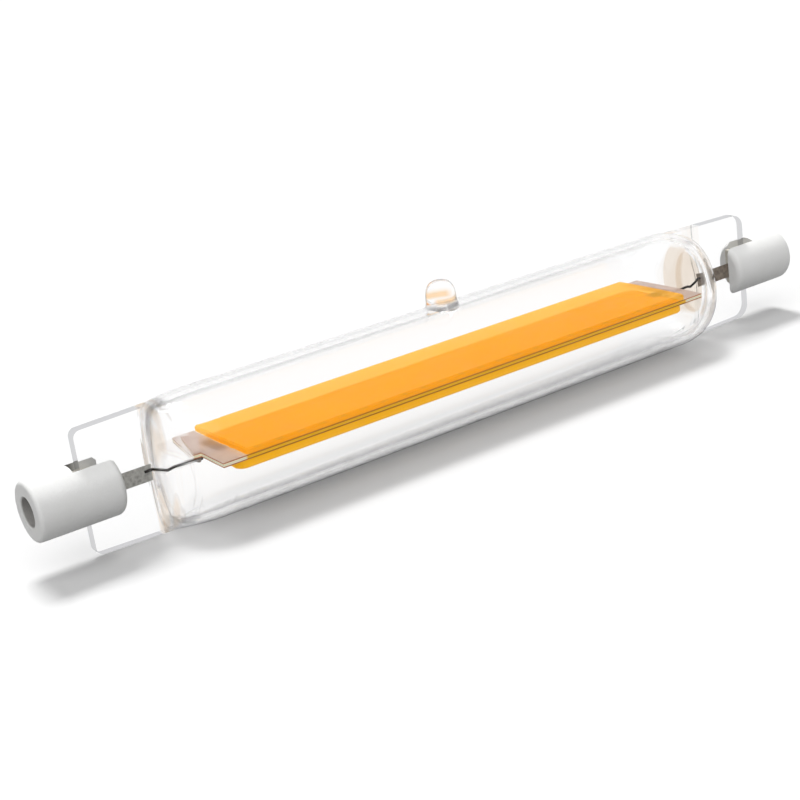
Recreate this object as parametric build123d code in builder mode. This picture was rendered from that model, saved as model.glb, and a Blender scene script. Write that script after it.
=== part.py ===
from build123d import *
import math
import os

os.makedirs("parts", exist_ok=True)

# A double-ended linear LED lamp with a clear glass tube and two recessed-contact ceramic caps.
# Millimetres. X runs along the lamp, Z up through the exhaust tip, Y across the LED board.
# The origin is the middle of the lamp on the tube's axis.

# Sizes set by the lampholder: the overall length, and caps whose contacts lie in a recess
overall_length = 117.6
cap_radius = 3.65
cap_length = 10.6
contact_recess_radius = 1.75
contact_recess_depth = 1.7

# Glass envelope
tube_radius = 8.0
tube_wall = 1.0
shoulder_length = 7.0
shoulder_steps = 4
shoulder_flat_share = 0.45
hollow_last_turn = 84
seal_glass = 1.3
left_taper = 0.05
right_taper = 0.5
bare_seal = 4.6
seal_thickness = 1.5
seal_narrowing = 0.4
seal_end_gap = 1.1
left_corner_radius = 0.9
right_corner_radius = 1.8

# Exhaust tip, where the tube was filled and melted shut
tip_x = -0.6
tip_height = 3.4
tip_radius = 1.95
tip_foot_radius = 3.1
tip_neck_height = 1.3
tip_foot_slope = 0.45
tip_bore_radius = 1.0
tip_bore_height = 1.0

# LED board and its two layers of phosphor gel
board_reach = 1.0
board_top = 0.42
board_thickness = 0.58
board_side_gap = 0.5
left_tab_length = 1.2
right_tab_length = 0.0
tab_near_edge = 1.1
skewed_corner = 0.2
top_gel_thickness = 0.7
top_gel_set_back = 3.1
bottom_gel_thickness = 1.5
bottom_gel_set_in = 1.15
bottom_gel_set_back = 2.4
gel_corner_radius = 1.2
gel_edge_chamfer = 0.2

# LED chips and printed pads on the board's underside
chip_length = 0.9
chip_width = 0.5
chip_height = 0.2
chip_rows = 4
chip_row_step = 2.4
chip_step = 3.0
chip_margin = 2.0
pad_thickness = 0.06
pad_half_width = 1.05
pad_set_back = 0.5
pad_under_gel = 1.2

# Wires and foils that carry the current through the glass
inner_wire_radius = 0.17
inner_wire_y = -0.8
inner_wire_z = 0.1
inner_wire_dip = -0.68
inner_wire_pinch = 2.4
inner_wire_jog = 0.8
foil_width = 2.0
foil_thickness = 0.1
foil_z = -0.22
foil_tail = 1.8
foil_weld_length = 1.0
solder_radius = 0.45
solder_depth = 0.46
solder_film = 0.05
solder_set_back = 0.8
wire_under_board = 1.4
wire_bend_from_tab = 0.3
outer_wire_radius = 0.3

# Ceramic caps
cap_slot_width = 3.0
cap_slot_depth = 5.1
left_cheek_cut = 1.2
right_cheek_cut = 2.7
cap_outer_rim = 0.5
cap_inner_rim = 0.8
short_cheek_rim = 0.4
cap_bore_clearance = 0.1
recess_mouth = 0.15
cement_half_height = 2.4
cement_set_back = 2.1

# Contacts
contact_seat_radius = 1.5
contact_clearance = 0.03
contact_thickness = 0.8
contact_edge = 0.15
shank_radius = 0.8
shank_length = 1.0

# Places along the lamp, each measured from its middle
half_length = overall_length / 2
cap_inner_end = half_length - cap_length
slot_end = cap_inner_end + cap_slot_depth
contact_face = half_length - contact_recess_depth
contact_back = contact_face - contact_thickness
shoulder_end = cap_inner_end - bare_seal
shoulder_start = shoulder_end - shoulder_length
seal_end = slot_end - seal_end_gap
board_half_length = shoulder_start + board_reach
top_gel_half_length = board_half_length - top_gel_set_back
bottom_gel_half_length = board_half_length - bottom_gel_set_back
foil_start = shoulder_end - foil_thickness
foil_end = seal_end - foil_tail
outer_weld_start = foil_end - foil_weld_length
pinch = shoulder_end - inner_wire_pinch

# Widths and heights that follow from the ones above
bore_radius = tube_radius - tube_wall
seal_half_at_tube = tube_radius - foil_thickness
seal_half_at_end = seal_half_at_tube - seal_narrowing
board_half_width = bore_radius - board_side_gap
bottom_gel_half_width = board_half_width - bottom_gel_set_in
board_bottom = board_top - board_thickness
pad_bottom = board_bottom - pad_thickness
wire_offset = foil_thickness / 2 + inner_wire_radius
outer_wire_offset = foil_thickness / 2 + outer_wire_radius
wire_at_tab_z = pad_bottom - solder_film - inner_wire_radius

# Each end by name, with its side of the middle and the sizes in which the two ends differ
ends = (
    ("left", -1, left_taper, left_corner_radius, board_half_length + left_tab_length, left_cheek_cut),
    ("right", 1, right_taper, right_corner_radius, board_half_length + right_tab_length, right_cheek_cut),
)


def across(x, side=1):
    """A plane across the lamp at x, with its first axis up and its normal away from the middle."""
    return Plane(origin=(side * x, 0, 0), x_dir=(0, 0, 1), z_dir=(side, 0, 0))


# The foils are thin ribbons in the middle of each press seal.
foils = {}
for name, side, taper, corner, tab_end, cheek_cut in ends:
    with BuildPart() as foil:
        with Locations((side * (foil_start + foil_end) / 2, 0, foil_z)):
            Box(foil_end - foil_start, foil_thickness, foil_width)
    foils[name] = foil

# The inner leads leave the foil, dip where the glass was pinched on them and run under the board's end.
# They are stiff wire, kinked by hand, so their corners are sharp.
inner_leads = {}
for name, side, taper, corner, tab_end, cheek_cut in ends:
    with BuildPart() as lead:
        with BuildLine() as route:
            Polyline(
                (side * (foil_start + foil_weld_length), -wire_offset, inner_wire_z),
                (side * foil_start, -wire_offset, inner_wire_z),
                (side * (pinch + inner_wire_jog / 2), -wire_offset, inner_wire_dip),
                (side * (pinch - inner_wire_jog / 2), inner_wire_y / 2, wire_at_tab_z),
                (side * (tab_end - wire_bend_from_tab), inner_wire_y, wire_at_tab_z),
                (side * (tab_end - wire_under_board), inner_wire_y, wire_at_tab_z),
            )
        with BuildSketch(Plane(origin=route.line @ 0, z_dir=(-side, 0, 0))):
            Circle(inner_wire_radius)
        sweep(transition=Transition.RIGHT)
    inner_leads[name] = lead

# The outer leads run from the far end of the foil through the cap to its contact.
outer_leads = {}
for name, side, taper, corner, tab_end, cheek_cut in ends:
    with BuildPart() as lead:
        with BuildSketch(across(outer_weld_start, side)):
            with Locations((foil_z, -side * outer_wire_offset)):
                Circle(outer_wire_radius)
        extrude(amount=contact_back - shank_length - outer_weld_start)
    outer_leads[name] = lead

# The envelope is drawn tube, closed at each end by a shoulder that goes from round to flat.
with BuildPart() as glass_envelope:
    with BuildSketch(across(-shoulder_start)):
        Circle(tube_radius)
    extrude(amount=2 * shoulder_start)
    for name, side, taper, corner, tab_end, cheek_cut in ends:
        # Each section is an ellipse. Its depth falls on a quarter ellipse, its height much more slowly.
        last_turn = math.acos(shoulder_flat_share * seal_thickness / tube_radius)
        for step in range(shoulder_steps + 1):
            turn = last_turn * step / shoulder_steps
            with BuildSketch(across(shoulder_start + shoulder_length * math.sin(turn), side)):
                Ellipse(tube_radius * math.cos(turn) ** taper, tube_radius * math.cos(turn))
        loft()
        # The press seal is a flat blade in the lamp's upright plane, a little wider at the tube.
        with BuildSketch(Plane.XZ) as blade:
            Polygon(
                (side * (shoulder_start + seal_glass), -seal_half_at_tube),
                (side * (shoulder_start + seal_glass), seal_half_at_tube),
                (side * seal_end, seal_half_at_end),
                (side * seal_end, -seal_half_at_end),
                align=None,
            )
            tip_corners = blade.vertices().filter_by(lambda v: abs(v.X) > seal_end - 0.1)
            fillet(tip_corners, corner)
        extrude(amount=seal_thickness / 2, both=True)
    # Exhaust tip with a flared foot and a round top
    neck = tube_radius + tip_neck_height
    with BuildSketch(Plane.XZ):
        with BuildLine():
            foot = Line((tip_x, bore_radius), (tip_x + tip_foot_radius, bore_radius))
            Spline(foot @ 1, (tip_x + tip_radius, neck), tangents=((-1, tip_foot_slope), (0, 1)))
            crown = Spline(
                (tip_x + tip_radius, neck), (tip_x, tube_radius + tip_height), tangents=((0, 1), (-1, 0))
            )
            Line(crown @ 1, foot @ 0)
        make_face()
    revolve(axis=Axis((tip_x, 0, 0), (0, 0, 1)))
    # The hollow: a straight bore, two inner shoulders and the drawn-down bore of the tip
    with BuildSketch(across(-shoulder_start)):
        Circle(bore_radius)
    extrude(amount=2 * shoulder_start, mode=Mode.SUBTRACT)
    for name, side, taper, corner, tab_end, cheek_cut in ends:
        inner_length = shoulder_length - seal_glass
        for step in range(shoulder_steps + 1):
            turn = math.radians(hollow_last_turn) * step / shoulder_steps
            with BuildSketch(across(shoulder_start + inner_length * math.sin(turn), side)):
                Ellipse(bore_radius * math.cos(turn) ** taper, bore_radius * math.cos(turn))
        loft(mode=Mode.SUBTRACT)
    with BuildSketch(Plane.XY.offset(bore_radius - tube_wall)):
        with Locations((tip_x, 0)):
            Circle(tip_bore_radius)
    extrude(amount=tube_wall + tip_bore_height, taper=12, mode=Mode.SUBTRACT)
    # The glass has flowed round the foils and wires, so it holds their exact shape.
    for name, side, taper, corner, tab_end, cheek_cut in ends:
        add(foils[name].part, mode=Mode.SUBTRACT)
        add(inner_leads[name].part, mode=Mode.SUBTRACT)
        add(outer_leads[name].part, mode=Mode.SUBTRACT)

# The board is one translucent strip. Its right end is cut square. At its left end the near half stops
# short, and the far half reaches past it as a soldering tab with a slightly skewed end.
with BuildPart() as led_board:
    with BuildSketch(Plane.XY.offset(board_bottom)):
        Polygon(
            (board_half_length, -board_half_width),
            (board_half_length, board_half_width),
            (skewed_corner - board_half_length, board_half_width),
            (-board_half_length - left_tab_length, -tab_near_edge),
            (-board_half_length, -tab_near_edge),
            (-board_half_length, -board_half_width),
            align=None,
        )
    extrude(amount=board_thickness)

# Chips sit in rows on the underside.
chips_in_row = int(2 * (bottom_gel_half_length - chip_margin) / chip_step)
with BuildPart() as led_chips:
    with BuildSketch(Plane.XY.offset(board_bottom - chip_height)):
        with GridLocations(chip_step, chip_row_step, chips_in_row, chip_rows):
            Rectangle(chip_length, chip_width)
    extrude(amount=chip_height)

# Printed pads lead from the tabs to just under the gel.
pad_start = bottom_gel_half_length - pad_under_gel
with BuildPart() as track_pads:
    with BuildSketch(Plane.XY.offset(pad_bottom)):
        for name, side, taper, corner, tab_end, cheek_cut in ends:
            pad_end = tab_end - pad_set_back
            with Locations((side * (pad_start + pad_end) / 2, 0)):
                Rectangle(pad_end - pad_start, 2 * pad_half_width)
    extrude(amount=pad_thickness)

# The upper gel covers the board from edge to edge.
with BuildPart() as phosphor_top:
    with BuildSketch(Plane.XY.offset(board_top)):
        RectangleRounded(2 * top_gel_half_length, 2 * board_half_width, gel_corner_radius / 3)
    extrude(amount=top_gel_thickness)
    chamfer(phosphor_top.faces().sort_by(Axis.Z)[-1].edges(), gel_edge_chamfer)

# The lower gel is thicker and narrower, and it is moulded over the chips and the ends of the pads.
with BuildPart() as phosphor_bottom:
    with BuildSketch(Plane.XY.offset(board_bottom)):
        RectangleRounded(2 * bottom_gel_half_length, 2 * bottom_gel_half_width, gel_corner_radius)
    extrude(amount=-bottom_gel_thickness)
    chamfer(phosphor_bottom.faces().sort_by(Axis.Z)[0].edges(), gel_edge_chamfer)
    add(led_chips.part, mode=Mode.SUBTRACT)
    add(track_pads.part, mode=Mode.SUBTRACT)

# One drop of solder holds each wire to its pad.
with BuildPart() as solder_joints:
    for name, side, taper, corner, tab_end, cheek_cut in ends:
        with BuildSketch(Plane.XY.offset(pad_bottom)):
            with Locations((side * (tab_end - solder_set_back), inner_wire_y)):
                Circle(solder_radius)
        extrude(amount=-solder_depth, taper=12)
    for name, side, taper, corner, tab_end, cheek_cut in ends:
        add(inner_leads[name].part, mode=Mode.SUBTRACT)

# The ceramic caps are slotted to take the press seal and recessed round the contact.
caps = {}
for name, side, taper, corner, tab_end, cheek_cut in ends:
    with BuildPart() as cap:
        with BuildSketch(across(cap_inner_end, side)):
            Circle(cap_radius)
        extrude(amount=cap_length)
        rims = cap.edges().filter_by(GeomType.CIRCLE).sort_by(lambda e: abs(e.center().X))
        fillet(rims[0], cap_inner_rim)
        fillet(cap.edges().filter_by(GeomType.CIRCLE).sort_by(lambda e: abs(e.center().X))[-1], cap_outer_rim)
        # Slot across the inner end
        with Locations((side * (cap_inner_end + cap_slot_depth / 2), 0, 0)):
            Box(cap_slot_depth, cap_slot_width, 2 * cap_radius + 1, mode=Mode.SUBTRACT)
        # The far cheek is shorter, so the seal can be laid in from that side.
        with Locations((side * (cap_inner_end + cheek_cut / 2), cap_radius, 0)):
            Box(cheek_cut, 2 * cap_radius, 2 * cap_radius + 1, mode=Mode.SUBTRACT)
        short_edge = cap.edges().filter_by(GeomType.CIRCLE).filter_by(
            lambda e: abs(abs(e.center().X) - cap_inner_end - cheek_cut) < 0.01
        )
        chamfer(short_edge, short_cheek_rim)
        # Stepped recess: the lampholder's contact enters the wide part, the lamp's own sits in the step
        with BuildSketch(across(contact_face, side)):
            Circle(contact_recess_radius)
        extrude(amount=contact_recess_depth, mode=Mode.SUBTRACT)
        with BuildSketch(across(contact_back, side)):
            Circle(contact_seat_radius)
        extrude(amount=contact_thickness, mode=Mode.SUBTRACT)
        mouth = cap.edges().filter_by(GeomType.CIRCLE).filter_by(
            lambda e: abs(abs(e.center().X) - half_length) < 0.01 and e.radius < cap_radius / 2
        )
        chamfer(mouth, recess_mouth)
        with BuildSketch(across(slot_end, side)):
            Circle(shank_radius + cap_bore_clearance)
        extrude(amount=contact_back - slot_end, mode=Mode.SUBTRACT)
    caps[name] = cap

contacts = {}
for name, side, taper, corner, tab_end, cheek_cut in ends:
    with BuildPart() as contact:
        with BuildSketch(across(contact_back, side)):
            Circle(contact_seat_radius - contact_clearance)
        extrude(amount=contact_thickness)
        chamfer(
            contact.edges().filter_by(GeomType.CIRCLE).sort_by(lambda e: abs(e.center().X))[-1],
            contact_edge,
        )
        with BuildSketch(across(contact_back - shank_length, side)):
            Circle(shank_radius)
        extrude(amount=shank_length)
    contacts[name] = contact

# White cement fills the slot round the middle of the seal.
cements = {}
for name, side, taper, corner, tab_end, cheek_cut in ends:
    with BuildPart() as cement:
        cement_length = cap_slot_depth - cement_set_back
        with Locations((side * (slot_end - cement_length / 2), 0, 0)):
            Box(cement_length, cap_slot_width, 2 * cement_half_height)
        add(glass_envelope.part, mode=Mode.SUBTRACT)
        add(foils[name].part, mode=Mode.SUBTRACT)
        add(outer_leads[name].part, mode=Mode.SUBTRACT)
    cements[name] = cement

single_pieces = (
    (glass_envelope, "glass_envelope"),
    (led_board, "led_board"),
    (led_chips, "led_chips"),
    (track_pads, "track_pads"),
    (phosphor_top, "phosphor_top"),
    (phosphor_bottom, "phosphor_bottom"),
    (solder_joints, "solder_joints"),
)
for piece, label in single_pieces:
    piece.part.label = label
    export_step(piece.part, f"parts/{label}.step")

paired_pieces = (
    (foils, "foil"),
    (inner_leads, "inner_lead"),
    (outer_leads, "outer_lead"),
    (caps, "cap"),
    (contacts, "contact"),
    (cements, "cement"),
)
for pair, label in paired_pieces:
    for name in ("left", "right"):
        pair[name].part.label = f"{label}_{name}"
        export_step(pair[name].part, f"parts/{label}_{name}.step")
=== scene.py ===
# %% [markdown]
# # A clear tube lamp with an amber board inside: camera, studio and finishes
# The real lamp is a drawn glass tube about a hand's width long. Its ends are heated and pinched flat, a
# slotted ceramic cap is pushed over each flat end, and a narrow board with amber gel on both faces hangs
# between two fine wires. All of that is already modelled as solids, so this lesson loads them as a fixed
# frame and works on what the solids can't have: the light, the floor, the camera and the finishes.

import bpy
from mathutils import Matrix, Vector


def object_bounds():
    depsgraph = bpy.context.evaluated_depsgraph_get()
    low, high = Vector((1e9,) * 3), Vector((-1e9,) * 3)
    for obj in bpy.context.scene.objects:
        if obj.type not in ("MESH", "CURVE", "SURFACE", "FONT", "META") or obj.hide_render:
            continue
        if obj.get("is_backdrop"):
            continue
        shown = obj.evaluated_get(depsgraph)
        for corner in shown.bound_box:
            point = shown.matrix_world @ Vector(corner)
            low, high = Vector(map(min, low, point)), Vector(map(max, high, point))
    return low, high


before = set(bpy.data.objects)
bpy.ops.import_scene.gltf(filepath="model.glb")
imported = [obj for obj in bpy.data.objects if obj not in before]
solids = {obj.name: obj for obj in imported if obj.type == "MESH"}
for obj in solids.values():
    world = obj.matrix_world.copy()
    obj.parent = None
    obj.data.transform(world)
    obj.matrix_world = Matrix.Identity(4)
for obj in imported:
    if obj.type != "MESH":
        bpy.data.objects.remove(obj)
cad_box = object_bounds()
print("solids:", len(solids), "box in mm:", [[round(v * 1000, 2) for v in corner] for corner in cad_box])

# %% [markdown]
# ## The camera
# The picture was taken from the front, a little left of the middle and a little above, with the camera
# leaning so that the lamp climbs to the right. A camera can be aimed by eye or with a Track To
# constraint. Here its place, its angles and its lens come from a fit of the lamp's outlines to the
# picture, and they are typed in, because the same numbers give the same frame on each run. A ray that
# runs along inside a glass wall is thrown back many times, so many bounces are allowed: a ray that is cut
# short comes back black.

# %% Place the camera
import math
import bpy
from mathutils import Euler, Vector

scene = bpy.context.scene
camera_data = bpy.data.cameras.new("view_lens")
camera_data.sensor_width = 36.0
camera_data.lens = 72.87
camera_data.clip_start = 0.01
camera_data.clip_end = 60.0
camera = bpy.data.objects.new("view", camera_data)
camera.location = (-0.11212, -0.16293, 0.06372)
camera.rotation_euler = Euler([math.radians(a) for a in (70.9626, 7.5671, -34.9827)], "XYZ")
scene.collection.objects.link(camera)
scene.camera = camera
scene.view_settings.view_transform = "Standard"
scene.cycles.max_bounces = 40
scene.cycles.transmission_bounces = 40
scene.cycles.glossy_bounces = 40
scene.cycles.transparent_max_bounces = 24
print("camera is", round(camera.location.length * 1000), "mm from the middle of the lamp")

# %% [markdown]
# ## Small helpers for node trees
# Every finish, the floor and the world are node trees, and most of their nodes do sums or mix colours.
# These helpers keep each of those steps to one line. Colours are written as they look on a screen, from 0
# to 255, and turned into the linear values that a shader works with, and greys are written as one level.
# Where one of several masks is enough, the largest counts. The last helper tells rays that carry a
# picture to the eye, directly, in a mirror or through glass, from rays that only spread light.

# %% Helpers for sums, colours and rays
def linear(red, green, blue):
    parts = [channel / 255 for channel in (red, green, blue)]
    return [p / 12.92 if p <= 0.04045 else ((p + 0.055) / 1.055) ** 2.4 for p in parts] + [1.0]


def even(level):
    return (level, level, level, 1.0)


def feed(tree, socket, value):
    if isinstance(value, bpy.types.NodeSocket):
        tree.links.new(value, socket)
    elif value is not None:
        socket.default_value = value


def arithmetic(tree, operation, first, second=None):
    node = tree.nodes.new("ShaderNodeMath")
    node.operation = operation
    feed(tree, node.inputs[0], first)
    feed(tree, node.inputs[1], second)
    return node.outputs[0]


def any_of(tree, mask, *others):
    for other in others:
        mask = arithmetic(tree, "MAXIMUM", mask, other)
    return mask


def mix_colours(tree, mask, first, second):
    node = tree.nodes.new("ShaderNodeMix")
    node.data_type = "RGBA"
    feed(tree, node.inputs["Factor"], mask)
    first_input, second_input = [socket for socket in node.inputs if socket.type == "RGBA"]
    feed(tree, first_input, first)
    feed(tree, second_input, second)
    return next(socket for socket in node.outputs if socket.type == "RGBA")


def mix_shaders(tree, mask, first, second):
    node = tree.nodes.new("ShaderNodeMixShader")
    feed(tree, node.inputs["Fac"], mask)
    tree.links.new(first, node.inputs[1])
    tree.links.new(second, node.inputs[2])
    return node.outputs[0]


def carries_a_picture(tree):
    ray = tree.nodes.new("ShaderNodeLightPath").outputs
    return any_of(tree, ray["Is Camera Ray"], ray["Is Glossy Ray"], ray["Is Transmission Ray"])


white = even(1.0)
print("mid grey 188 is", round(linear(188, 188, 188)[0], 3), "in linear light")

# %% [markdown]
# ## The floor
# Clear glass shows only what lies around it, so the floor is the most important part of this studio. A
# plane as wide as a room has no visible rim. It lies a tenth of a millimetre below the tube's lowest
# line, so that the two don't share a surface. Its mesh is typed in, because four corners need no tool.

# %% Lay the floor
floor_height = -0.0081
floor_reach = 12.0
corners = [(-1, -1), (1, -1), (1, 1), (-1, 1)]
corner_points = [(x * floor_reach, y * floor_reach, floor_height) for x, y in corners]
floor_mesh = bpy.data.meshes.new("floor")
floor_mesh.from_pydata(corner_points, [], [(0, 1, 2, 3)])
floor = bpy.data.objects.new("floor", floor_mesh)
scene.collection.objects.link(floor)
floor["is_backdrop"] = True
print("floor at", floor_height * 1000, "mm, the tube's lowest line at", round(cad_box[0].z * 1000, 2), "mm")

# %% [markdown]
# ## The floor's paper
# One plain white would do for the floor by itself, but it would light the caps from below, and in the
# picture their undersides are grey. So the paper is nearly white to the eye and dark to the rays that
# only spread light. Through the glass the picture shows almost no shadow, so there the paper is mixed
# with an even white of strength 1. That is a mix and no sum, because a floor brighter than white would
# drown the faint tints of the glass. From below it lets the eye through, so that the lamp can be seen
# from there too.

# %% Finish: floor paper
tone_to_the_lamp = 0.3
tone_to_the_eye = 0.86
white_through_glass = 0.75
paper = bpy.data.materials.new("studio_paper")
paper.use_nodes = True
tree = paper.node_tree
tree.nodes.clear()
matt = tree.nodes.new("ShaderNodeBsdfDiffuse")
lift = tree.nodes.new("ShaderNodeEmission")
clear = tree.nodes.new("ShaderNodeBsdfTransparent")
side = tree.nodes.new("ShaderNodeNewGeometry")
finish_out = tree.nodes.new("ShaderNodeOutputMaterial")
tone = mix_colours(tree, carries_a_picture(tree), even(tone_to_the_lamp), even(tone_to_the_eye))
tree.links.new(tone, matt.inputs["Color"])
through_glass = tree.nodes.new("ShaderNodeLightPath").outputs["Is Transmission Ray"]
lifted = arithmetic(tree, "MULTIPLY", through_glass, white_through_glass)
lit = mix_shaders(tree, lifted, matt.outputs[0], lift.outputs[0])
surface = mix_shaders(tree, side.outputs["Backfacing"], lit, clear.outputs[0])
tree.links.new(surface, finish_out.inputs["Surface"])
floor_mesh.materials.append(paper)
print(paper.name, "has", len(tree.nodes), "nodes")

# %% [markdown]
# ## The surroundings
# The picture has a white backdrop, and glass mirrors it, so the world is white at strength 1 wherever a
# ray carries a picture. As a source of light the same white would wash out every shadow. Light Path
# parts the two: as light the world is only a weak fill.

# %% Surround the lamp with white
fill_strength = 0.26
backdrop_strength = 1.0
world = bpy.data.worlds.new("studio")
world.use_nodes = True
scene.world = world
tree = world.node_tree
tree.nodes.clear()
levels = {}
for name, strength in (("fill", fill_strength), ("backdrop", backdrop_strength)):
    levels[name] = tree.nodes.new("ShaderNodeBackground")
    levels[name].inputs["Color"].default_value = white
    levels[name].inputs["Strength"].default_value = strength
world_out = tree.nodes.new("ShaderNodeOutputWorld")
seen = carries_a_picture(tree)
surround = mix_shaders(tree, seen, levels["fill"].outputs[0], levels["backdrop"].outputs[0])
tree.links.new(surround, world_out.inputs["Surface"])
print("fill", fill_strength, "backdrop", backdrop_strength)

# %% [markdown]
# ## The light
# The caps fade from white on top to grey below, and the shadow falls towards the viewer with a soft rim.
# So one lamp stands steeply above the object, a little behind it, and a very wide and weaker one stands
# on the viewer's side. Area lamps would do as well, but their light fades with distance, and a sun with
# a wide disc gives the same soft shadow at the same level everywhere.

# %% Hang the two lamps
def hang_lamp(name, energy, width_degrees, direction):
    data = bpy.data.lights.new(name, "SUN")
    data.energy = energy
    data.angle = math.radians(width_degrees)
    lamp = bpy.data.objects.new(name, data)
    towards = Vector(direction).normalized()
    lamp.rotation_euler = towards.to_track_quat("Z", "Y").to_euler()
    scene.collection.objects.link(lamp)
    print(name, "stands", round(math.degrees(math.asin(towards.z))), "degrees above the floor")


hang_lamp("key", energy=2.1, width_degrees=18, direction=(0.14, 0.46, 1.0))
hang_lamp("wide_front", energy=1.4, width_degrees=80, direction=(-0.45, -0.6, 0.9))

# %% [markdown]
# ## Node groups
# An effect that several finishes share becomes a node group: a box of nodes with named sockets. The
# first helper makes an empty group, and the second places a group in a material with its own values.

# %% Helpers for groups
def new_group(name, inputs, outputs):
    group = bpy.data.node_groups.new(name, "ShaderNodeTree")
    for label, value in inputs.items():
        socket = group.interface.new_socket(name=label, in_out="INPUT", socket_type="NodeSocketFloat")
        socket.default_value = value
    for label in outputs:
        group.interface.new_socket(name=label, in_out="OUTPUT", socket_type="NodeSocketFloat")
    return group, group.nodes.new("NodeGroupInput"), group.nodes.new("NodeGroupOutput")


def place_group(tree, group, **values):
    node = tree.nodes.new("ShaderNodeGroup")
    node.node_tree = group
    node.label = group.name
    for label, value in values.items():
        node.inputs[label].default_value = value
    return node


print("groups so far:", len(bpy.data.node_groups))

# %% [markdown]
# ## Where a point lies on the lamp
# Many details belong to a place: runs where the glass was pinched, clear board ends, painted shade in the
# contact hole. Image maps would need an unwrapped surface. The lamp's own coordinates are simpler, because
# every solid shares one frame with its middle at zero. This group gives, in millimetres, how far a point is
# along the lamp from its middle, to either side of it, above it and away from its axis, and whether it is
# on the right half.

# %% Group: place on the lamp
mm_per_metre = 1000.0
place, _, place_out = new_group(
    "place_on_lamp", {}, ("Along", "Beside", "Height", "From Axis", "Right Half")
)
coordinates = place.nodes.new("ShaderNodeTexCoord")
in_mm = place.nodes.new("ShaderNodeVectorMath")
in_mm.operation = "SCALE"
in_mm.inputs["Scale"].default_value = mm_per_metre
split = place.nodes.new("ShaderNodeSeparateXYZ")
place.links.new(coordinates.outputs["Object"], in_mm.inputs[0])
place.links.new(in_mm.outputs[0], split.inputs[0])
beside = arithmetic(place, "ABSOLUTE", split.outputs["Y"])
above = arithmetic(place, "ABSOLUTE", split.outputs["Z"])
beside_squared = arithmetic(place, "POWER", beside, 2.0)
above_squared = arithmetic(place, "POWER", above, 2.0)
measures = {
    "Along": arithmetic(place, "ABSOLUTE", split.outputs["X"]),
    "Beside": beside,
    "Height": split.outputs["Z"],
    "From Axis": arithmetic(place, "SQRT", arithmetic(place, "ADD", beside_squared, above_squared)),
    "Right Half": arithmetic(place, "GREATER_THAN", split.outputs["X"], 0.0),
}
for label, measure in measures.items():
    place.links.new(measure, place_out.inputs[label])
print(place.name, "has", len(place.nodes), "nodes")

# %% [markdown]
# ## Cloudy variation
# No real surface has one roughness or one colour all over: fired clay, cured gel and oxidised metal all
# drift a little from place to place. A noise texture of low contrast gives that drift. The group takes
# the size of the clouds in millimetres and a stretch along the lamp, because drawn glass and wire show
# long streaks, and pinched glass upright ones. It gives a value between the two limits set on it.

# %% Group: cloudy variation
cloudy, cloudy_in, cloudy_out = new_group(
    "cloudy_variation", {"Size": 3.0, "Stretch": 1.0, "Detail": 3.0, "Low": 0.0, "High": 1.0}, ("Value",)
)
coordinates = cloudy.nodes.new("ShaderNodeTexCoord")
stretched = cloudy.nodes.new("ShaderNodeVectorMath")
stretched.operation = "MULTIPLY"
factors = cloudy.nodes.new("ShaderNodeCombineXYZ")
per_cloud = arithmetic(cloudy, "DIVIDE", mm_per_metre, cloudy_in.outputs["Size"])
lengthwise = arithmetic(cloudy, "DIVIDE", per_cloud, cloudy_in.outputs["Stretch"])
noise = cloudy.nodes.new("ShaderNodeTexNoise")
noise.inputs["Scale"].default_value = 1.0
noise.inputs["Roughness"].default_value = 0.55
limits = cloudy.nodes.new("ShaderNodeMapRange")
limits.inputs["From Min"].default_value = 0.3
limits.inputs["From Max"].default_value = 0.7
cloudy.links.new(lengthwise, factors.inputs["X"])
cloudy.links.new(per_cloud, factors.inputs["Y"])
cloudy.links.new(per_cloud, factors.inputs["Z"])
cloudy.links.new(coordinates.outputs["Object"], stretched.inputs[0])
cloudy.links.new(factors.outputs[0], stretched.inputs[1])
cloudy.links.new(stretched.outputs[0], noise.inputs["Vector"])
cloudy.links.new(cloudy_in.outputs["Detail"], noise.inputs["Detail"])
cloudy.links.new(noise.outputs["Fac"], limits.inputs["Value"])
cloudy.links.new(cloudy_in.outputs["Low"], limits.inputs["To Min"])
cloudy.links.new(cloudy_in.outputs["High"], limits.inputs["To Max"])
cloudy.links.new(limits.outputs["Result"], cloudy_out.inputs["Value"])


def cloud_value(tree, **values):
    return place_group(tree, cloudy, **values).outputs["Value"]


print(cloudy.name, "has", len(cloudy.nodes), "nodes")

# %% [markdown]
# ## A soft step
# The third shared effect is a mask that goes from 0 to 1 between two values, without a hard edge. It is
# what confines a detail to its place: fed with the distance along the lamp it marks the ends, and fed
# with the distance from the axis it marks the contact hole. With the first value above the second, it
# falls instead of rising.

# %% Group: soft step
step, step_in, step_out = new_group("soft_step", {"Value": 0.0, "Starts": 0.0, "Ends": 1.0}, ("Mask",))
ramp = step.nodes.new("ShaderNodeMapRange")
ramp.interpolation_type = "SMOOTHSTEP"
step.links.new(step_in.outputs["Value"], ramp.inputs["Value"])
step.links.new(step_in.outputs["Starts"], ramp.inputs["From Min"])
step.links.new(step_in.outputs["Ends"], ramp.inputs["From Max"])
step.links.new(ramp.outputs["Result"], step_out.inputs["Mask"])


def mask_between(tree, value, starts, ends):
    node = place_group(tree, step, Starts=starts, Ends=ends)
    tree.links.new(value, node.inputs["Value"])
    return node.outputs["Mask"]


print(step.name, "has", len(step.nodes), "nodes")

# %% [markdown]
# ## Working with masks
# Masks are joined as on paper. Where all of them must hold, they are multiplied. Where one is enough, the
# largest counts, as the helper above does. A third helper turns a mask into a value that slides between
# two others. The last one says how squarely a face looks along one axis, from 0 to 1, which tells the
# broad faces of a flat piece from its edges.

# %% Helpers for masks
def all_of(tree, mask, *others):
    for other in others:
        mask = arithmetic(tree, "MULTIPLY", mask, other)
    return mask


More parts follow.
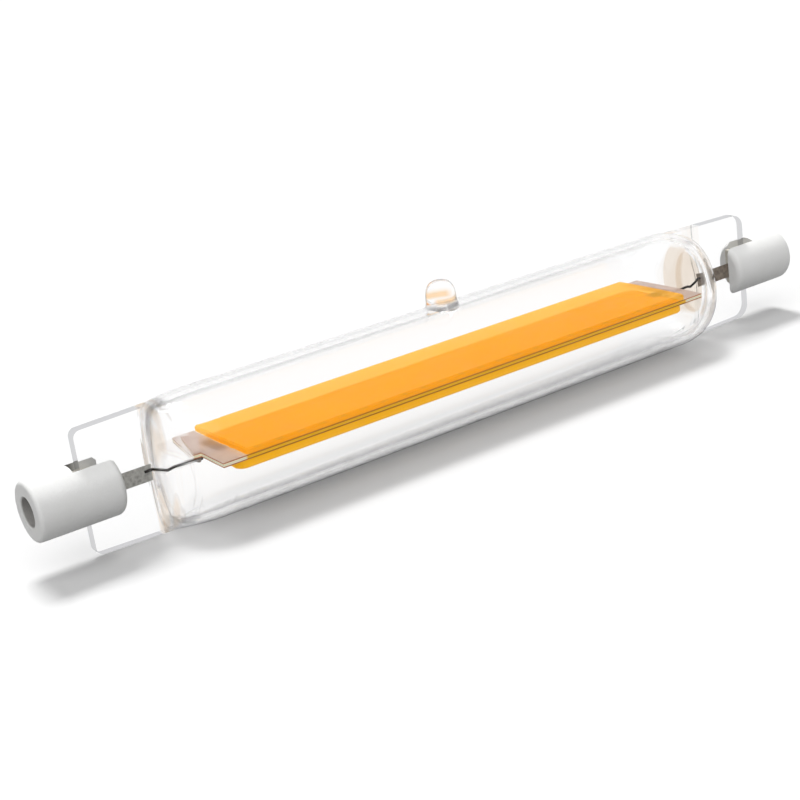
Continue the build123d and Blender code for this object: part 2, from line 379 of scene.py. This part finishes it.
def slide(tree, mask, at_zero, at_one):
    return arithmetic(tree, "ADD", at_zero, arithmetic(tree, "MULTIPLY", mask, at_one - at_zero))


def squareness(tree, normal, axis):
    split = tree.nodes.new("ShaderNodeSeparateXYZ")
    tree.links.new(normal, split.inputs[0])
    return arithmetic(tree, "ABSOLUTE", split.outputs[axis])


print("groups:", ", ".join(group.name for group in bpy.data.node_groups))

# %% [markdown]
# ## Starting, dressing and giving out a finish
# Every finish starts from one Principled BSDF and gets a colour, a roughness and a fine relief. Relief
# this fine would need millions of faces, so it is bump: it turns the light and leaves the mesh alone.
# Every solid takes its finish through its own material slots.

# %% Helpers for finishes
def start_finish(name):
    material = bpy.data.materials.new(name)
    material.use_nodes = True
    tree = material.node_tree
    shader = next(node for node in tree.nodes if node.type == "BSDF_PRINCIPLED")
    return material, tree, shader


def dress(tree, shader, colour, roughness, height, bump_mm, metallic=0.0, specular=0.5):
    relief = tree.nodes.new("ShaderNodeBump")
    relief.inputs["Strength"].default_value = 1.0
    relief.inputs["Distance"].default_value = bump_mm / mm_per_metre
    tree.links.new(height, relief.inputs["Height"])
    tree.links.new(colour, shader.inputs["Base Color"])
    tree.links.new(roughness, shader.inputs["Roughness"])
    tree.links.new(relief.outputs["Normal"], shader.inputs["Normal"])
    shader.inputs["Metallic"].default_value = metallic
    shader.inputs["Specular IOR Level"].default_value = specular


def finish_with(tree, surface):
    out = next(node for node in tree.nodes if node.type == "OUTPUT_MATERIAL")
    tree.links.new(surface, out.inputs["Surface"])


def give_finish(material, *names):
    for name in names:
        for holder in solids[name].material_slots:
            holder.material = material
    print(material.name, "is on", ", ".join(names))


print("slots to fill:", sum(len(solids[name].material_slots) for name in solids))

# %% [markdown]
# ## Clear glass: where it was pinched
# The tube is drawn glass, and each end was heated by a burner and pinched flat between two jaws. The last
# few millimetres of each shoulder keep a swirl from that and hold painted refraction tints, more of them at
# the left end. A stretch of the lamp's length and upright noise mark where they are, and the next cells use
# these masks.

# %% Clear glass: masks of the pinch
tube_radius = 8.0
flat_start = 43.6
glass, tree, shader = start_finish("clear_glass")
where = place_group(tree, place).outputs
runs = cloud_value(tree, Size=13.0, Stretch=0.09, Detail=1.0)
reached = mask_between(tree, where["Along"], flat_start - 3.4, flat_start - 2.0)
passed_by = mask_between(tree, where["Along"], flat_start + 0.3, flat_start - 0.1)
pinched = all_of(tree, reached, passed_by)
left_share = slide(tree, where["Right Half"], 0.8, 0.2)
print("the pinch ends where the glass turns flat,", flat_start, "mm from the middle")

# %% [markdown]
# ## Clear glass: the body
# Along its middle the tube is nearly perfect, with the faintest of lengthwise streaks. In the pinch it
# swirls, and thin brown-grey streaks are painted into its colour as painted refraction, mostly at the left
# end. Thick glass at its true index of 1.46 throws nearly black lines along the flat ends, and the picture
# has pale ones, so the index is set lower.

# %% Clear glass: its body
streak_share = 0.001
off_middle = arithmetic(tree, "ABSOLUTE", arithmetic(tree, "SUBTRACT", runs, 0.5))
painted_streak = mask_between(tree, off_middle, 0.05, 0.015)
# Painted refraction: thin brown-grey streaks in the pinch, mostly at the left end.
tint = mix_colours(tree, all_of(tree, pinched, painted_streak, left_share), white, linear(112, 92, 76))
gloss = cloud_value(tree, Size=9.0, Stretch=3.0, Low=0.0, High=0.015)
swirl = all_of(tree, cloud_value(tree, Size=6.0, Stretch=0.25, Detail=0.0), pinched)
streaks = all_of(tree, cloud_value(tree, Size=1.8, Stretch=45.0, Detail=1.0), streak_share)
dress(tree, shader, tint, gloss, arithmetic(tree, "ADD", swirl, streaks), bump_mm=0.2)
shader.inputs["Transmission Weight"].default_value = 1.0
shader.inputs["IOR"].default_value = 1.2
print(glass.name, "has", len(tree.nodes), "nodes so far")

# %% [markdown]
# ## Clear glass: outlines
# On a white floor, traced glass all but vanishes, and in the picture pale grey lines draw its edges. A
# darker room would draw them as reflections, but it would also spoil the white backdrop. So the lines are
# painted reflections, placed where they belong: Layer Weight finds the faces that turn away from the eye,
# more strongly on the underside and on the little tip, and the direction of a face finds the narrow edges
# of the flat ends.

# %% Clear glass: masks of the outlines
grazing = tree.nodes.new("ShaderNodeLayerWeight")
grazing.inputs["Blend"].default_value = 0.5
upper_edge = mask_between(tree, grazing.outputs["Facing"], 0.55, 0.9)
on_tip = mask_between(tree, where["Height"], tube_radius - 0.1, tube_radius + 0.5)
upper_rim = all_of(tree, upper_edge, slide(tree, on_tip, 0.4, 1.0))
lower_edge = mask_between(tree, grazing.outputs["Facing"], 0.4, 1.0)
underside = mask_between(tree, where["Height"], 0.5, -2.0)
lower_rim = all_of(tree, lower_edge, underside)
shape = tree.nodes.new("ShaderNodeNewGeometry")
narrow_face = mask_between(tree, squareness(tree, shape.outputs["True Normal"], "Y"), 0.8, 0.5)
on_flat_end = mask_between(tree, where["Along"], flat_start + 0.1, flat_start + 0.4)
# Painted reflection lines along the glass edges.
painted_outline = any_of(tree, upper_rim, lower_rim, all_of(tree, narrow_face, on_flat_end))
print(glass.name, "has", len(tree.nodes), "nodes with its outlines")

# %% [markdown]
# ## Clear glass: beige tints and a painted reflection
# A beige cloud of painted refraction lies in the pinched glass of the left end, an even beige patch lies in
# that of the right end, and the tip holds a painted reflection of the amber board. A painted picture would
# need an unwrapped surface, so each of them is the product of a few soft steps that confine it from all
# sides.

# %% Clear glass: masks of the tints and the painted reflection
# Painted refraction: a beige cloud in the pinch, mostly at the left end.
clouded = mask_between(tree, runs, 0.45, 0.65)
painted_beige_refraction = all_of(tree, pinched, left_share, clouded)
from_tube = mask_between(tree, where["Along"], flat_start - 1.9, flat_start - 1.75)
to_flat = mask_between(tree, where["Along"], flat_start - 0.4, flat_start - 0.6)
level = mask_between(tree, arithmetic(tree, "ABSOLUTE", where["Height"]), 5.6, 4.6)
patch = all_of(tree, from_tube, to_flat, level, where["Right Half"], 0.9)
# Painted reflection of the amber board in the little tip.
above_foot = mask_between(tree, where["Height"], tube_radius + 0.3, tube_radius + 0.9)
under_dome = mask_between(tree, where["Height"], tube_radius + 1.8, tube_radius + 1.1)
broad_side = mask_between(tree, where["Beside"], 0.5, 1.4)
painted_amber_reflection = all_of(tree, above_foot, under_dome, broad_side)
print(glass.name, "has", len(tree.nodes), "nodes with its stains")

# %% [markdown]
# ## Clear glass: the veil
# The colour of a glass shader only tints what passes through it, and at a grazing angle nearly everything
# is mirrored, so lines and tints would drown in white. A tinted Transparent shader has no mirror. It is
# laid over the glass as a thin veil, only where a line, a tint or the painted reflection is.

# %% Clear glass: lay the veil over it
beige_tint = mix_colours(tree, any_of(tree, painted_beige_refraction, patch), white, linear(234, 222, 208))
with_painted_reflection = mix_colours(tree, painted_amber_reflection, beige_tint, linear(248, 192, 96))
veil = tree.nodes.new("ShaderNodeBsdfTransparent")
tree.links.new(mix_colours(tree, painted_outline, with_painted_reflection, linear(213, 213, 215)), veil.inputs["Color"])
pinch_share = all_of(tree, pinched, 0.85)
veil_share = any_of(tree, painted_outline, pinch_share, patch, all_of(tree, painted_amber_reflection, 0.6))
body = mix_shaders(tree, veil_share, shader.outputs[0], veil.outputs[0])
print(glass.name, "has", len(tree.nodes), "nodes with its veil")

# %% [markdown]
# ## Clear glass: its shadow
# Light that only passes through on its way to the floor or the board goes straight on, a little weaker,
# because tracing it through curved glass would leave bright specks. The underside and the thick flat ends
# hold back more of it, which gives the soft grey shadow below the lamp.

# %% Clear glass: let light straight through
ray = tree.nodes.new("ShaderNodeLightPath")
passing = tree.nodes.new("ShaderNodeBsdfTransparent")
shade = mix_colours(tree, any_of(tree, underside, on_flat_end), even(0.92), even(0.42))
dimmed = mix_colours(tree, ray.outputs["Is Shadow Ray"], even(0.98), shade)
tree.links.new(dimmed, passing.inputs["Color"])
straight = any_of(tree, ray.outputs["Is Shadow Ray"], ray.outputs["Is Diffuse Ray"])
finish_with(tree, mix_shaders(tree, straight, body, passing.outputs[0]))
give_finish(glass, "glass_envelope")

# %% [markdown]
# ## The board
# The board is a strip of translucent ceramic. Its bare ends look mauve-grey where light passes through
# them, with a brown smudge next to the gel. Its cut edges are pale cream with a fine brown line along
# each corner, and under the gel they take the gel's colour. All of it is one material, because it is one
# strip, and soft steps along the lamp tell the parts from each other.

# %% Board: its colours
gel_end = 34.6
board_middle = 0.13
board, tree, shader = start_finish("translucent_board")
where = place_group(tree, place).outputs
shape = tree.nodes.new("ShaderNodeNewGeometry")
patches = cloud_value(tree, Size=2.2, Detail=4.0)
mauve = mix_colours(tree, patches, linear(192, 166, 152), linear(172, 143, 127))
near_gel = mask_between(tree, where["Along"], gel_end + 2.2, gel_end + 1.0)
near_axis = mask_between(tree, where["Beside"], 3.4, 1.0)
smudge = all_of(tree, near_gel, near_axis, 0.8)
bare = mix_colours(tree, smudge, mauve, linear(132, 92, 58))
under_gel = mask_between(tree, where["Along"], gel_end + 0.2, gel_end - 0.2)
face = mix_colours(tree, under_gel, bare, linear(255, 240, 205))
from_middle = arithmetic(tree, "ABSOLUTE", arithmetic(tree, "SUBTRACT", where["Height"], board_middle))
corner_line = mask_between(tree, from_middle, 0.13, 0.19)
cream = mix_colours(tree, under_gel, linear(255, 242, 212), linear(255, 190, 18))
line = mix_colours(tree, under_gel, linear(176, 112, 62), linear(150, 92, 8))
edge_face = mask_between(tree, squareness(tree, shape.outputs["Normal"], "Z"), 0.6, 0.4)
colour = mix_colours(tree, edge_face, face, mix_colours(tree, corner_line, cream, line))
print(board.name, "has", len(tree.nodes), "nodes so far")

# %% [markdown]
# ## The board lets light through
# Glass with a rough inside would be the true model of a translucent strip, and a slow and noisy one.
# Alpha is enough here: it lets part of the light through each face that looks at the viewer. The faces on
# the far side of the solid are left out by Backfacing, because otherwise each layer would count twice.

# %% Finish: translucent board
grit = cloud_value(tree, Size=0.35, Detail=3.0)
rough = cloud_value(tree, Size=1.5, Low=0.32, High=0.5)
dress(tree, shader, colour, rough, grit, bump_mm=0.01, specular=0.2)
# Painted light: the cut edges glow weakly, because they face sideways and catch less light.
tree.links.new(colour, shader.inputs["Emission Color"])
tree.links.new(all_of(tree, edge_face, 0.15), shader.inputs["Emission Strength"])
front_share = any_of(tree, slide(tree, under_gel, 0.88, 0.25), edge_face)
looks_at_us = arithmetic(tree, "SUBTRACT", 1.0, shape.outputs["Backfacing"])
tree.links.new(all_of(tree, front_share, looks_at_us), shader.inputs["Alpha"])
give_finish(board, "led_board")

# %% [markdown]
# ## The amber gel
# The gel is silicone filled with phosphor powder, which gives it a very fine grain and slightly uneven
# colour. Phosphor also turns part of the light that it takes in into its own amber, which a weak emission
# stands for; part of that emission is painted light, stronger on the upright faces, which catch less light.
# That light is seen by the eye only, and the gel is grey to rays that only spread light, so that it doesn't
# tint the floor. Both layers come from one helper, because they are one material.

# %% Helper: the gel's body
def mix_gel(name, tones, powder_tone, fluorescence_and_painted_light, painted_side_light):
    material, tree, shader = start_finish(name)
    drift = cloud_value(tree, Size=6.0, Stretch=2.5, Detail=3.0)
    powder = cloud_value(tree, Size=0.22, Detail=2.0)
    rough = cloud_value(tree, Size=2.5, Low=0.32, High=0.45)
    amber = mix_colours(tree, drift, *tones)
    grained = mix_colours(tree, all_of(tree, powder, 0.12), amber, powder_tone)
    seen = carries_a_picture(tree)
    colour = mix_colours(tree, seen, (0.7, 0.69, 0.67, 1), grained)
    dress(tree, shader, colour, rough, powder, bump_mm=0.008, specular=0.1)
    shape = tree.nodes.new("ShaderNodeNewGeometry")
    upright = mask_between(tree, squareness(tree, shape.outputs["Normal"], "Z"), 0.9, 0.2)
    # Painted light: upright faces get extra glow, because they catch less light.
    fluorescence_and_painted_glow = slide(tree, upright, fluorescence_and_painted_light, fluorescence_and_painted_light + painted_side_light)
    tree.links.new(colour, shader.inputs["Emission Color"])
    tree.links.new(all_of(tree, seen, fluorescence_and_painted_glow), shader.inputs["Emission Strength"])
    print(name, "is mixed from", len(tree.nodes), "nodes")
    return material, tree, shader


# %% [markdown]
# ## The upper layer
# On the upper face the gel is thin: light amber where only white lies behind it, and deep amber where
# the thick lower layer shows through from under the board. Two painted tones would be wrong from any
# other side. So the upper gel is half an amber filter, and the two tones appear where the layers overlap.

# %% Finish: upper gel
gel, tree, shader = mix_gel(
    "phosphor_gel",
    tones=(linear(250, 182, 8), linear(247, 176, 6)),
    powder_tone=linear(255, 198, 24),
    fluorescence_and_painted_light=0.14,
    painted_side_light=0.3,
)
shape = tree.nodes.new("ShaderNodeNewGeometry")
ray = tree.nodes.new("ShaderNodeLightPath")
filtered = tree.nodes.new("ShaderNodeBsdfTransparent")
amber_filter = mix_colours(tree, ray.outputs["Is Shadow Ray"], (1.0, 0.56, 0.15, 1), even(0.7))
passed = mix_colours(tree, shape.outputs["Backfacing"], amber_filter, white)
tree.links.new(passed, filtered.inputs["Color"])
looks_at_us = arithmetic(tree, "SUBTRACT", 1.0, shape.outputs["Backfacing"])
finish_with(tree, mix_shaders(tree, all_of(tree, looks_at_us, 0.5), filtered.outputs[0], shader.outputs[0]))
give_finish(gel, "phosphor_top")

# %% [markdown]
# ## The lower layer
# Under the board the gel is thick enough to hide the chips, so it needs no filter. It lies in the shade
# of the board and still looks bright in the picture, so its emission is stronger: painted light against
# that shade.

# %% Finish: lower gel
gel_below, tree, shader = mix_gel(
    "phosphor_gel_lower",
    tones=(linear(255, 184, 8), linear(252, 178, 6)),
    powder_tone=linear(255, 196, 30),
    fluorescence_and_painted_light=0.42,
    painted_side_light=0.0,
)
give_finish(gel_below, "phosphor_bottom")

# %% [markdown]
# ## Chips and solder
# The chips are slivers of sapphire with a pale blue-grey gleam and fine sawn sides, and the solder is a
# grey drop with a frosting of crystals. Several small pieces are made alike: one fine pattern gives both
# the two tones and the relief, and a softer one gives the shine. That is one helper with different values.

# %% Helper and finishes: chips and solder
def patterned_finish(name, pieces, pattern, shine, tones, bump_mm, metallic=0.0, specular=0.5):
    material, tree, shader = start_finish(name)
    marks = cloud_value(tree, **pattern)
    rough = cloud_value(tree, **shine)
    dress(tree, shader, mix_colours(tree, marks, *tones), rough, marks, bump_mm, metallic, specular)
    give_finish(material, *pieces)


patterned_finish(
    "chip_sapphire",
    ["led_chips"],
    pattern=dict(Size=0.12, Stretch=0.3, Detail=2.0),
    shine=dict(Size=0.6, Low=0.08, High=0.25),
    tones=(linear(214, 222, 236), linear(182, 192, 214)),
    bump_mm=0.004,
)
patterned_finish(
    "solder",
    ["solder_joints"],
    pattern=dict(Size=0.16, Detail=3.0),
    shine=dict(Size=0.25, Low=0.22, High=0.45),
    tones=(linear(150, 140, 130), linear(96, 88, 82)),
    bump_mm=0.01,
    metallic=0.9,
)

# %% [markdown]
# ## Printed pads
# The pad that feeds the chips is printed silver paste, fired to a dull brown with a granular surface. Its
# stains are far larger than its grains, so it takes one pattern for the colour and another for the
# relief. It sits under the board and shows through the bare ends.

# %% Finish: printed pads
print_paste, tree, shader = start_finish("silver_print")
grains = cloud_value(tree, Size=0.18, Detail=4.0)
stain = cloud_value(tree, Size=0.9, Detail=3.0)
rough = cloud_value(tree, Size=0.3, Low=0.45, High=0.65)
colour = mix_colours(tree, stain, linear(128, 92, 58), linear(84, 58, 36))
dress(tree, shader, colour, rough, grains, bump_mm=0.01, metallic=0.1)
give_finish(print_paste, "track_pads")

# %% [markdown]
# ## Foil in the seals
# Current crosses the glass through a foil thinner than paper, because only such a foil bonds to hot
# glass without cracking it. Pressing crumples it into flat facets, painted lighter and darker grey as
# shading of how each facet catches the light, and the right-hand one has browned. Voronoi cells give the
# facets, broken up by finer clouds.

# %% Finish: seal foil
cells_per_metre = 2300.0
foil, tree, shader = start_finish("seal_foil")
where = place_group(tree, place).outputs
coordinates = tree.nodes.new("ShaderNodeTexCoord")
cells = tree.nodes.new("ShaderNodeTexVoronoi")
cells.inputs["Scale"].default_value = cells_per_metre
tree.links.new(coordinates.outputs["Object"], cells.inputs["Vector"])
patches = cloud_value(tree, Size=0.7, Detail=4.0)
rough = cloud_value(tree, Size=0.5, Low=0.35, High=0.6)
facets = arithmetic(tree, "MULTIPLY", cells.outputs["Distance"], 1.4)
crumple_and_facet_shade = arithmetic(tree, "MULTIPLY", arithmetic(tree, "ADD", facets, patches), 0.5)
# Painted facet shading: the crumple pattern sets lighter and darker grey, and it also drives the bump.
grey = mix_colours(tree, crumple_and_facet_shade, linear(178, 175, 168), linear(255, 254, 248))
brown = mix_colours(tree, crumple_and_facet_shade, linear(140, 126, 114), linear(212, 198, 184))
colour = mix_colours(tree, where["Right Half"], grey, brown)
dress(tree, shader, colour, rough, crumple_and_facet_shade, bump_mm=0.06, metallic=0.15)
give_finish(foil, "foil_left", "foil_right")

# %% [markdown]
# ## Wires
# The inner wires are black from heat: an oxide scale with hardly any gleam, so they aren't metallic here.
# The outer ones stayed bright and show the fine lengthwise marks of the die that they were drawn through,
# which is a pattern stretched twelve times along the lamp.

# %% Finish: wires
patterned_finish(
    "dark_wire",
    ["inner_lead_left", "inner_lead_right"],
    pattern=dict(Size=0.15, Stretch=3.0, Detail=3.0),
    shine=dict(Size=0.4, Low=0.4, High=0.6),
    tones=(linear(20, 17, 15), linear(40, 35, 31)),
    bump_mm=0.01,
    specular=0.1,
)
patterned_finish(
    "bright_wire",
    ["outer_lead_left", "outer_lead_right"],
    pattern=dict(Size=0.08, Stretch=12.0, Detail=2.0),
    shine=dict(Size=0.4, Low=0.2, High=0.4),
    tones=(linear(170, 168, 164), linear(128, 126, 122)),
    bump_mm=0.006,
    metallic=0.9,
)

# %% [markdown]
# ## Ceramic caps
# The caps are pressed steatite, unglazed: a matt white with a powdery grain and faint clouds. Shade is
# painted dark into the contact hole and deep into the slot, less of it at the right end. The hole is where
# a point is both close to the axis and close to the end. The slot is where it is between the two cheeks.

# %% Finish: white ceramic
slot_half_width = 1.5
slot_end = 53.3
ceramic, tree, shader = start_finish("white_ceramic")
where = place_group(tree, place).outputs
clouds_wide = cloud_value(tree, Size=3.5, Detail=4.0)
grain = cloud_value(tree, Size=0.14, Detail=3.0)
rough = cloud_value(tree, Size=1.2, Low=0.6, High=0.75)
near_axis = mask_between(tree, where["From Axis"], 1.95, 1.6)
at_the_end = mask_between(tree, where["Along"], 56.9, 57.3)
between_cheeks = mask_between(tree, where["Beside"], slot_half_width + 0.04, slot_half_width + 0.01)
short_of_end = mask_between(tree, where["Along"], slot_end + 0.04, slot_end + 0.01)
deep_in = mask_between(tree, where["Along"], slot_end - 2.2, slot_end - 0.4)
# Painted shade deep in the slot, lighter at the right end.
painted_slot_shade = all_of(tree, between_cheeks, short_of_end, deep_in, slide(tree, where["Right Half"], 1.0, 0.25))
clay = mix_colours(tree, clouds_wide, linear(252, 252, 251), linear(246, 246, 244))
with_slot_shade = mix_colours(tree, painted_slot_shade, clay, linear(112, 110, 106))
# Painted shade: the ceramic near the axis at the end, inside the contact hole, is darkened.
colour = mix_colours(tree, all_of(tree, near_axis, at_the_end), with_slot_shade, linear(104, 98, 92))
dress(tree, shader, colour, rough, grain, bump_mm=0.02, specular=0.15)
give_finish(ceramic, "cap_left", "cap_right")

# %% [markdown]
# ## Contacts and cement
# The contact at the bottom of the hole is a nickel button, painted almost black as the hole's shade. The
# cement that fills the slot is nearly as white as the cap, but coarser and yellower.

# %% Finish: contact and cement
# The contact's dark tones are painted shade of the hole.
patterned_finish(
    "nickel_contact",
    ["contact_left", "contact_right"],
    pattern=dict(Size=0.5, Detail=4.0),
    shine=dict(Size=0.3, Low=0.35, High=0.6),
    tones=(linear(84, 72, 64), linear(50, 43, 38)),
    bump_mm=0.02,
    metallic=0.4,
)
patterned_finish(
    "cap_cement",
    ["cement_left", "cement_right"],
    pattern=dict(Size=0.4, Detail=4.0),
    shine=dict(Size=0.6, Low=0.7, High=0.9),
    tones=(linear(232, 229, 220), linear(212, 206, 192)),
    bump_mm=0.05,
)

# %% [markdown]
# ## Compare the size
# The dressed lamp has to keep the size of the solids. Both boxes are set side by side, and their largest
# difference is printed.

boxes = {
    "cad": [list(corner) for corner in cad_box],
    "dressed": [list(corner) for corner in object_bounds()],
}
corner_pairs = zip(boxes["cad"], boxes["dressed"])
differences = [abs(a - b) for solid, dressed in corner_pairs for a, b in zip(solid, dressed)]
print("boxes differ by at most", max(differences))
